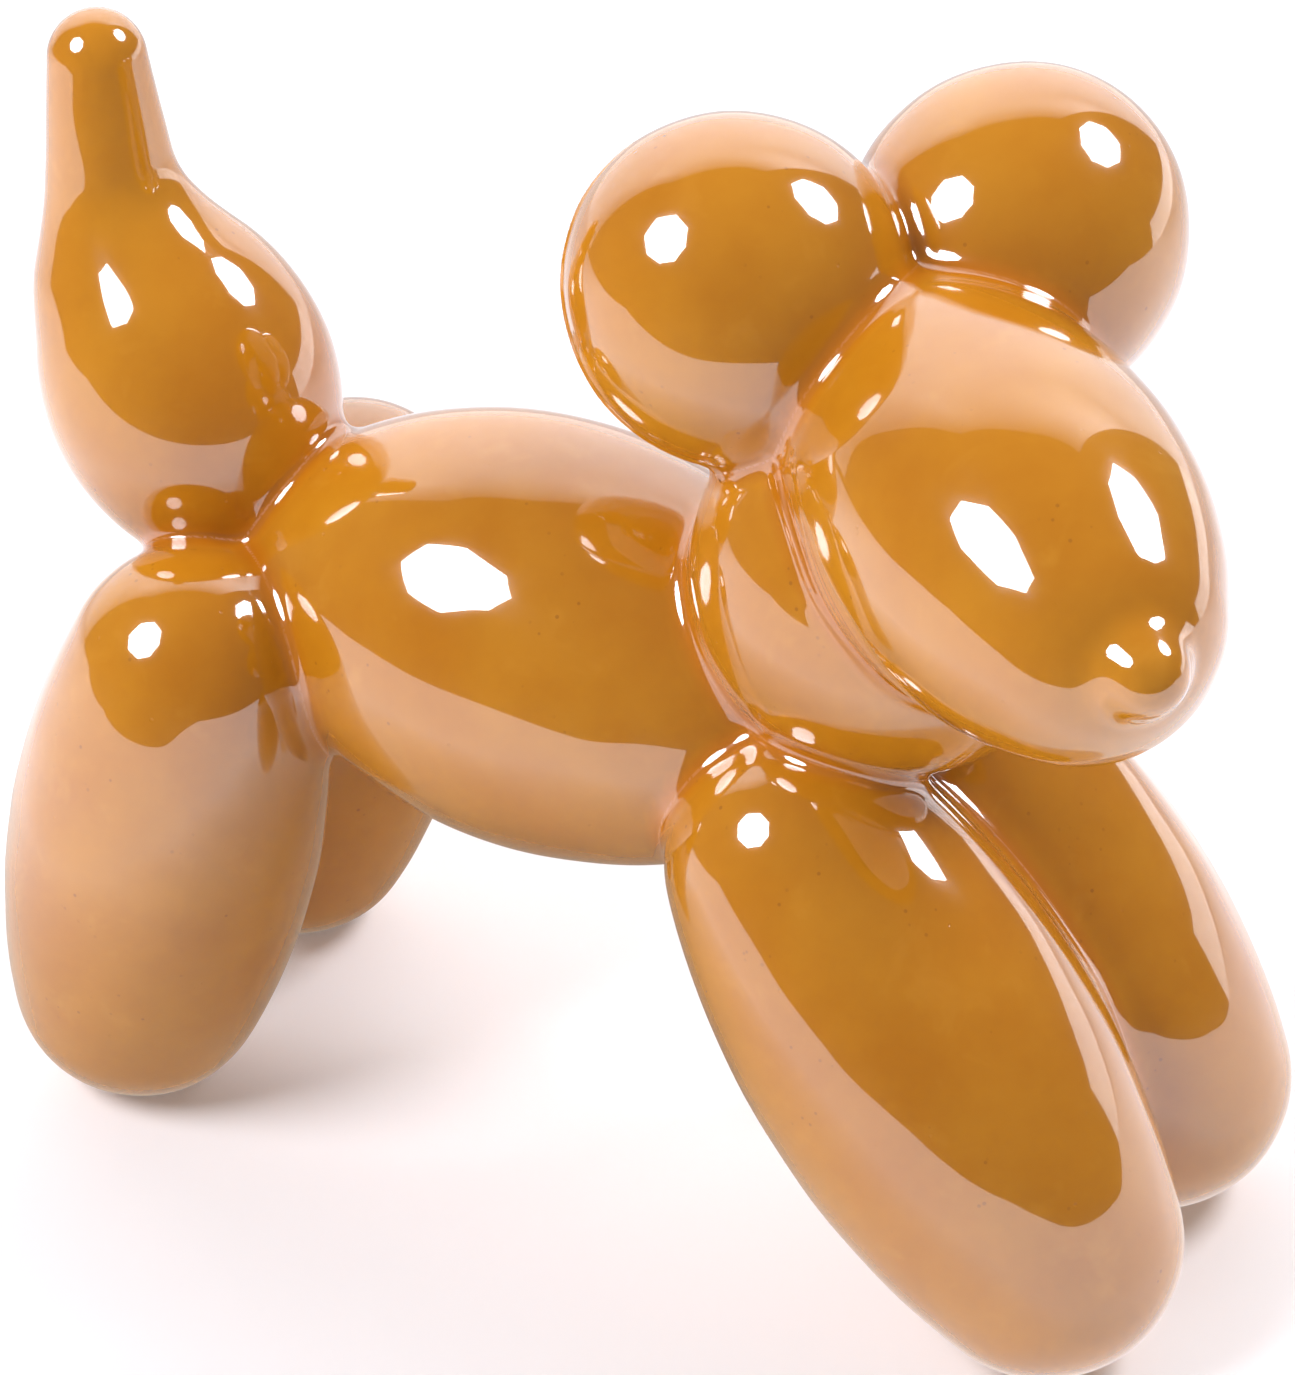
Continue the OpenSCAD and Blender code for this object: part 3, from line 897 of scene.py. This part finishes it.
# The studio. Places are seen from over the camera, in metres: to its right, away from it, and up.
# A fade is a pair of distances between which a card's glow changes
BLACK = (0.0, 0.0, 0.0)
GREY = (0.8, 0.8, 0.8)
FLOOR_HALF = 8.0
FLOOR_WHITE = (0.86, 0.86, 0.87)
FLOOR_GLOW = 0.14
FAR_GLOW = 0.95
FLOOR_FADE = (0.6, 2.6)
# The bright sheet under the dog, which the glaze reflects
SHEET_FRONT = 0.43
SHEET_BACK = 1.21
SHEET_HALF = 1.4
SHEET_UP = -0.0005
SHEET_GLOW = 1.36
# The dog's own shadow on it: its middle, and how its light dims and warms towards there
SHADE_AT = (-0.02, 0.04, 0)
SHADE_FADE = (0.05, 0.19)
SHADE_SHARE = 0.27
WARM_BOUNCE = (1.0, 0.78, 0.60)
PALE_BOUNCE = (1.0, 0.98, 1.04)
BEHIND_FADE = (0.12, 0.5)
BEHIND_SHARE = 0.55
BACKDROP_AWAY = 1.2
BACKDROP_RIGHT = 1.1
BACKDROP_LEFT = 2.2
BACKDROP_LOW = -0.01
BACKDROP_HIGH = 3.6
BACKDROP_GLOW = 1.15
BACKDROP_FADE = (0.4, 1.7)
BACKDROP_SHARES = (0.24, 0.85)
BACKDROP_TOP_FADE = 1.5
BACKDROP_LEFT_FADE = 0.8
# The low wall at the right, seen over the sheet's edge
SIDE_WALL_FROM = 0.1
SIDE_WALL_HIGH = 0.24
SIDE_WALL_GLOW = 0.75
SOFTBOX_AWAY = 1.5
SOFTBOX_UP = 0.1
SOFTBOX_TINT = (0.98, 0.95, 1.0)
# Eight-sided softboxes: name, turn from over the camera, rise, radius and glow
SOFTBOXES = (
    ("left_softbox", 64, 42, 0.41, 16.0),
    ("right_softbox", -106, 47, 0.34, 18.0),
)
# The room's light on the dog, and the white beyond the floor that the camera sees
ROOM = (0.11, 0.105, 0.10)
BEYOND = (0.95, 0.95, 0.96)
BEYOND_GLOW = 1.6


def card(name, points, faces, glow, colour, shade=None, tint=(1.0, 1.0, 1.0)):
    """A flat stage piece that gives or returns light; shade(nodes) varies its glow."""
    s = Nodes(name)
    s.set(Base_Color=(*colour, 1), Roughness=0.9, Specular_IOR_Level=0.2)
    s.set(Emission_Color=(*tint, 1), Emission_Strength=glow)
    if shade:
        s.link(s.math("MULTIPLY", shade(s), glow), s.shader.inputs["Emission Strength"])
    piece = new_object(name, np.array(points, float) / MM, faces, [s.material])
    return piece


def build_studio(camera_turn):
    """Floor and lights. Apart from the floor, the camera sees them only as reflections."""

    def far_off(s):
        """The floor brightens towards the horizon, where no softbox reaches."""
        off = s.add("ShaderNodeVectorMath", operation="LENGTH")
        s.link(s.place, off.inputs[0])
        return s.ramp(off.outputs["Value"], *FLOOR_FADE, 1.0, FAR_GLOW / FLOOR_GLOW)

    corners = [(x * FLOOR_HALF, y * FLOOR_HALF, 0) for x, y in ((-1, -1), (1, -1), (1, 1), (-1, 1))]
    floor = card("floor", corners, [(0, 1, 2, 3)], FLOOR_GLOW, FLOOR_WHITE, far_off)
    floor.visible_glossy = False
    turn = Matrix.Rotation(radians(camera_turn), 3, "Z")

    def spot(right, away, up):
        """A place seen from over the camera: to its right, away from it, and up."""
        return tuple(turn @ Vector((right, away, up)))

    def along(s, right, away, up=0):
        """How far a point lies along a direction given as for spot."""
        node = s.add("ShaderNodeVectorMath", operation="DOT_PRODUCT")
        s.link(s.place, node.inputs[0])
        node.inputs[1].default_value = spot(right, away, up)
        return node.outputs["Value"]

    def under_the_dog(s):
        """The sheet is dim in the dog's own shadow."""
        off = s.add("ShaderNodeVectorMath", operation="DISTANCE")
        s.link(s.place, off.inputs[0])
        off.inputs[1].default_value = spot(*SHADE_AT)
        near = s.ramp(off.outputs["Value"], *SHADE_FADE)
        s.link(s.mix(near, WARM_BOUNCE, PALE_BOUNCE), s.shader.inputs["Emission Color"])
        behind = s.ramp(along(s, 0, 1), *BEHIND_FADE, 1.0, BEHIND_SHARE)
        return s.math("MULTIPLY", s.ramp(near, 0.0, 1.0, SHADE_SHARE, 1.0), behind)

    def up_the_wall(s):
        """The backdrop is dim low down, bright above, and fades out at its top and left."""
        height = along(s, 0, 0, 1)
        rise = s.ramp(height, *BACKDROP_FADE, *BACKDROP_SHARES)
        top = s.ramp(height, BACKDROP_HIGH - BACKDROP_TOP_FADE, BACKDROP_HIGH, 1.0, 0.0)
        left = s.ramp(along(s, 1, 0), -BACKDROP_LEFT, BACKDROP_LEFT_FADE - BACKDROP_LEFT)
        return s.math("MULTIPLY", s.math("MULTIPLY", rise, top), left)

    def four_sided(name, places, glow, colour, shade=None):
        """A card with its corners given as for spot."""
        return card(name, [spot(*place) for place in places], [(0, 1, 2, 3)], glow, colour, shade)

    sheet = four_sided(
        "paper_sheet",
        [
            (-SHEET_HALF, -SHEET_FRONT, SHEET_UP),
            (SHEET_HALF, -SHEET_FRONT, SHEET_UP),
            (SHEET_HALF, SHEET_BACK, SHEET_UP),
            (-SHEET_HALF, SHEET_BACK, SHEET_UP),
        ],
        SHEET_GLOW,
        BLACK,
        under_the_dog,
    )
    backdrop = four_sided(
        "backdrop",
        [
            (-BACKDROP_LEFT, BACKDROP_AWAY, BACKDROP_LOW),
            (BACKDROP_RIGHT, BACKDROP_AWAY, BACKDROP_LOW),
            (BACKDROP_RIGHT, BACKDROP_AWAY, BACKDROP_HIGH),
            (-BACKDROP_LEFT, BACKDROP_AWAY, BACKDROP_HIGH),
        ],
        BACKDROP_GLOW,
        GREY,
        up_the_wall,
    )
    wall = four_sided(
        "side_wall",
        [
            (SHEET_HALF, SIDE_WALL_FROM, BACKDROP_LOW),
            (BACKDROP_RIGHT, BACKDROP_AWAY, BACKDROP_LOW),
            (BACKDROP_RIGHT, BACKDROP_AWAY, SIDE_WALL_HIGH),
            (SHEET_HALF, SIDE_WALL_FROM, SIDE_WALL_HIGH),
        ],
        SIDE_WALL_GLOW,
        GREY,
    )
    hidden = [sheet, backdrop, wall]
    for name, side, rise, half, glow in SOFTBOXES:
        way = turn @ Vector(heading(side, rise))
        middle = way * SOFTBOX_AWAY + Vector((0, 0, SOFTBOX_UP))
        across = Vector((0, 0, 1)).cross(way).normalized()
        up = way.cross(across)
        angles = [pi / 8 + k * pi / 4 for k in range(8)]
        points = [tuple(middle + half * (cos(a) * across + sin(a) * up)) for a in angles]
        hidden.append(card(name, points, [tuple(range(8))], glow, BLACK, tint=SOFTBOX_TINT))
    for piece in hidden:
        piece.visible_camera = False
        piece.visible_shadow = False
    sheet.visible_diffuse = False
    world = bpy.data.worlds.new("studio")
    bpy.context.scene.world = world
    world.use_nodes = True
    tree = world.node_tree
    background = tree.nodes["Background"]
    background.inputs["Color"].default_value = (*ROOM, 1)
    pale = tree.nodes.new("ShaderNodeBackground")
    pale.inputs["Color"].default_value = (*BEYOND, 1)
    pale.inputs["Strength"].default_value = BEYOND_GLOW
    seen = tree.nodes.new("ShaderNodeLightPath")
    both = tree.nodes.new("ShaderNodeMixShader")
    tree.links.new(seen.outputs["Is Camera Ray"], both.inputs[0])
    tree.links.new(background.outputs[0], both.inputs[1])
    tree.links.new(pale.outputs[0], both.inputs[2])
    tree.links.new(both.outputs[0], tree.nodes["World Output"].inputs["Surface"])


def build_camera():
    """The camera at the photograph's angle."""
    t, r, roll = radians(CAMERA_TURN), radians(CAMERA_RAISE), radians(CAMERA_ROLL)
    back = Vector((sin(t) * cos(r), -cos(t) * cos(r), sin(r)))
    right = Vector((cos(t), sin(t), 0))
    up = back.cross(right)
    right, up = cos(roll) * right + sin(roll) * up, -sin(roll) * right + cos(roll) * up
    low, high = (Vector(corner) for corner in cad_bounds)
    aim = (low + high) / 2 + Vector(CAMERA_AIM)
    data = bpy.data.cameras.new("camera")
    data.sensor_fit = "HORIZONTAL"
    data.sensor_width = 36
    data.lens = CAMERA_LENS
    data.clip_start = 0.01
    camera = bpy.data.objects.new("camera", data)
    turn = Matrix((right, up, back)).transposed().to_4x4()
    camera.matrix_world = Matrix.Translation(aim + back * CAMERA_AWAY) @ turn
    bpy.context.scene.collection.objects.link(camera)
    bpy.context.scene.camera = camera


build_camera()
build_dog()
build_studio(CAMERA_TURN)
bpy.context.scene.view_settings.view_transform = "Standard"
